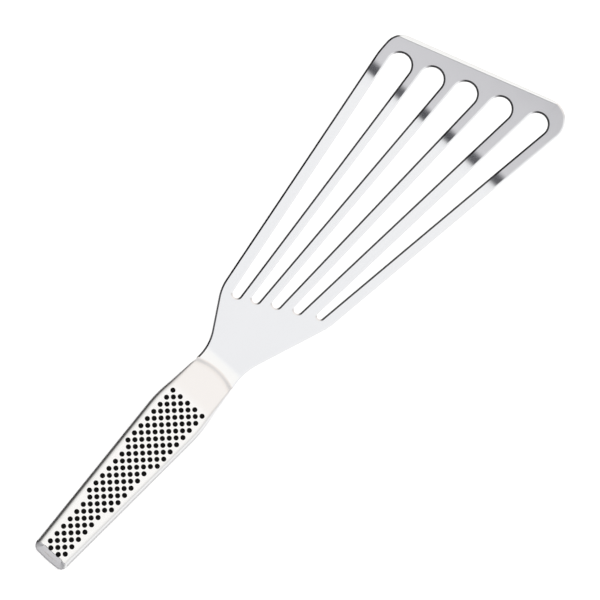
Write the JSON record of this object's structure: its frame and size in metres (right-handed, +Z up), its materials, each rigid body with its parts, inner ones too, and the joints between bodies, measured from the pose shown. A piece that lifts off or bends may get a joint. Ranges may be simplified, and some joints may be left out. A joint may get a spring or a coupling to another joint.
{
  "type": "fish spatula",
  "caption": "Slotted steel fish spatula with a slanted, upturned fan-shaped blade on a cranked neck and a hollow handle with black-filled dimples.",
  "frame": {"origin": "on the flat underside of the blade, on the centre line, just in front of the neck bend", "axes": "+X along the blade toward its tip, +Z up off the flat underside, +Y toward the blade's short side"},
  "size_m": [0.3187, 0.0901, 0.0389],
  "materials": {
    "blade_steel": "fine satin polish",
    "shell_steel": "soft satin, slightly matt",
    "weld_steel": "ground and polished smooth",
    "dot_enamel": "black enamel, semi-gloss",
    "balance_sand": "loose dry grains"
  },
  "bodies": {
    "root": {"blade": "blade_steel", "handle_upper_shell": "shell_steel", "handle_lower_shell": "shell_steel", "neck_weld": "weld_steel", "upper_dot_enamel": "dot_enamel", "lower_dot_enamel": "dot_enamel", "balance_sand": "balance_sand"}
  },
  "joints": []
}
